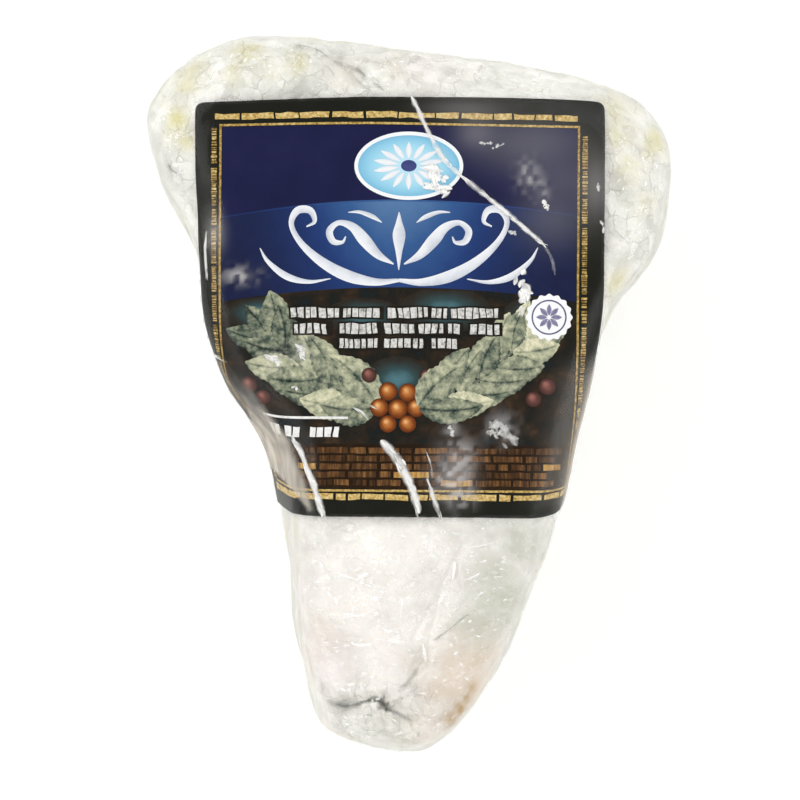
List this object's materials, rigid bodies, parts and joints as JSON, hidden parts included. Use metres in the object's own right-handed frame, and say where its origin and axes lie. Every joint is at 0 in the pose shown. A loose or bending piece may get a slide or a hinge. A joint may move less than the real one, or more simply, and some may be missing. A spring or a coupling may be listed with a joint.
{
  "type": "wrapped blue cheese wedge",
  "caption": "Irregular wedge of blue cheese sealed in tight clear film, with a square printed label wrapped over its front and sides.",
  "frame": {"origin": "middle of the bounding box, on the flat back it lies on", "axes": "+Y from the wedge's pointed end to its broad rind end, +Z out of the labelled front, +X to the right seen from the front"},
  "size_m": [0.0942, 0.1283, 0.0492],
  "materials": {
    "wrapped_cheese": "creamy white cheese under clear glossy film",
    "label": "glossy printed paper, dark blue and black with thin gold lines"
  },
  "bodies": {
    "root": {"wrapped_cheese": "wrapped_cheese", "label": "label"}
  },
  "joints": []
}
